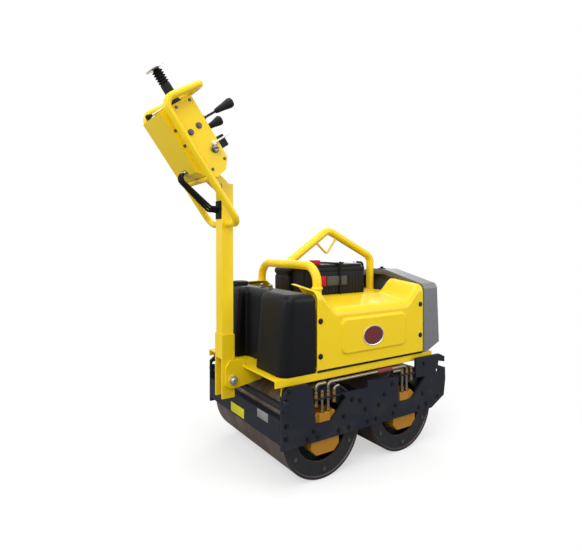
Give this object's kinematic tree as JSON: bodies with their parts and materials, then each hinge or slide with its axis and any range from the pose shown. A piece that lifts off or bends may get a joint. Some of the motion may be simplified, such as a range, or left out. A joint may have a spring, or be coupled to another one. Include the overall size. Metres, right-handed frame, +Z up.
{
  "type": "walk-behind double drum vibratory roller",
  "caption": "Walk-behind double drum road roller with a raised fold-down steering handle, lifting arch, tilting front hood, water tank and freely turning steel drums.",
  "frame": {"origin": "on the ground, at the middle of the overall length and width", "axes": "+X forward (away from the handle), +Y to the machine's left, +Z up"},
  "size_m": [1.4208, 0.704, 1.7423],
  "materials": {
    "yellow": "gloss paint",
    "dark_paint": "satin paint",
    "grey_paint": "hammered paint",
    "drum_steel": "bare rolled steel, stained",
    "amber_paint": "satin paint",
    "rubber": "matt",
    "tank_plastic": "moulded, fine grain",
    "black_plastic": "moulded",
    "zinc": "zinc plated",
    "maroon_hose": "woven cover",
    "engine_iron": "painted casting",
    "bright_steel": "turned"
  },
  "bodies": {
    "chassis": {"side_plate_right": "dark_paint", "side_plate_left": "dark_paint", "rear_cross_beam": "dark_paint", "front_cross_beam": "dark_paint", "mid_cross_tube": "dark_paint", "rear_carrier_right": "amber_paint", "rear_carrier_left": "amber_paint", "front_carrier_right": "amber_paint", "front_carrier_left": "amber_paint", "scraper_blades": "rubber", "spray_bars": "zinc", "rubber_mounts": "rubber", "hose_brackets": "dark_paint", "rear_hoses": "zinc", "front_hoses": "zinc", "hose_sleeve": "maroon_hose", "upper_frame": "yellow", "pivot_pin": "bright_steel", "side_panel_right": "yellow", "side_panel_left": "yellow", "deck": "yellow", "engine_block": "engine_iron", "hood_hinges": "dark_paint", "water_tank": "tank_plastic", "tank_caps": "black_plastic", "lifting_frame": "yellow", "battery": "black_plastic", "battery_clamp": "black_plastic", "air_cleaner": "black_plastic"},
    "rear_drum_body": {"rear_drum": "drum_steel"},
    "front_drum_body": {"front_drum": "drum_steel"},
    "handle_body": {"handle_column": "yellow", "handle_loop": "yellow", "control_box": "yellow", "stop_plunger": "rubber", "plunger_disc": "bright_steel", "travel_lever": "black_plastic", "vibration_lever": "black_plastic", "valve_block": "black_plastic", "box_buttons": "black_plastic", "control_cables": "rubber"},
    "hood_body": {"front_hood": "grey_paint"}
  },
  "joints": [
    {"name": "rear_drum_spin", "type": "hinge", "parent": "chassis", "child": "rear_drum_body", "pos_m": [-0.05956, 0, 0.203], "axis": [0, 1, 0], "continuous": true},
    {"name": "front_drum_spin", "type": "hinge", "parent": "chassis", "child": "front_drum_body", "pos_m": [0.42044, 0, 0.203], "axis": [0, 1, 0], "continuous": true},
    {"name": "handle_fold", "type": "hinge", "parent": "chassis", "child": "handle_body", "pos_m": [-0.34956, 0, 0.4], "axis": [0, -1, 0], "range_deg": [0, 50]},
    {"name": "hood_open", "type": "hinge", "parent": "chassis", "child": "hood_body", "pos_m": [0.66744, 0, 0.458], "axis": [0, 1, 0], "range_deg": [0, 70]}
  ]
}
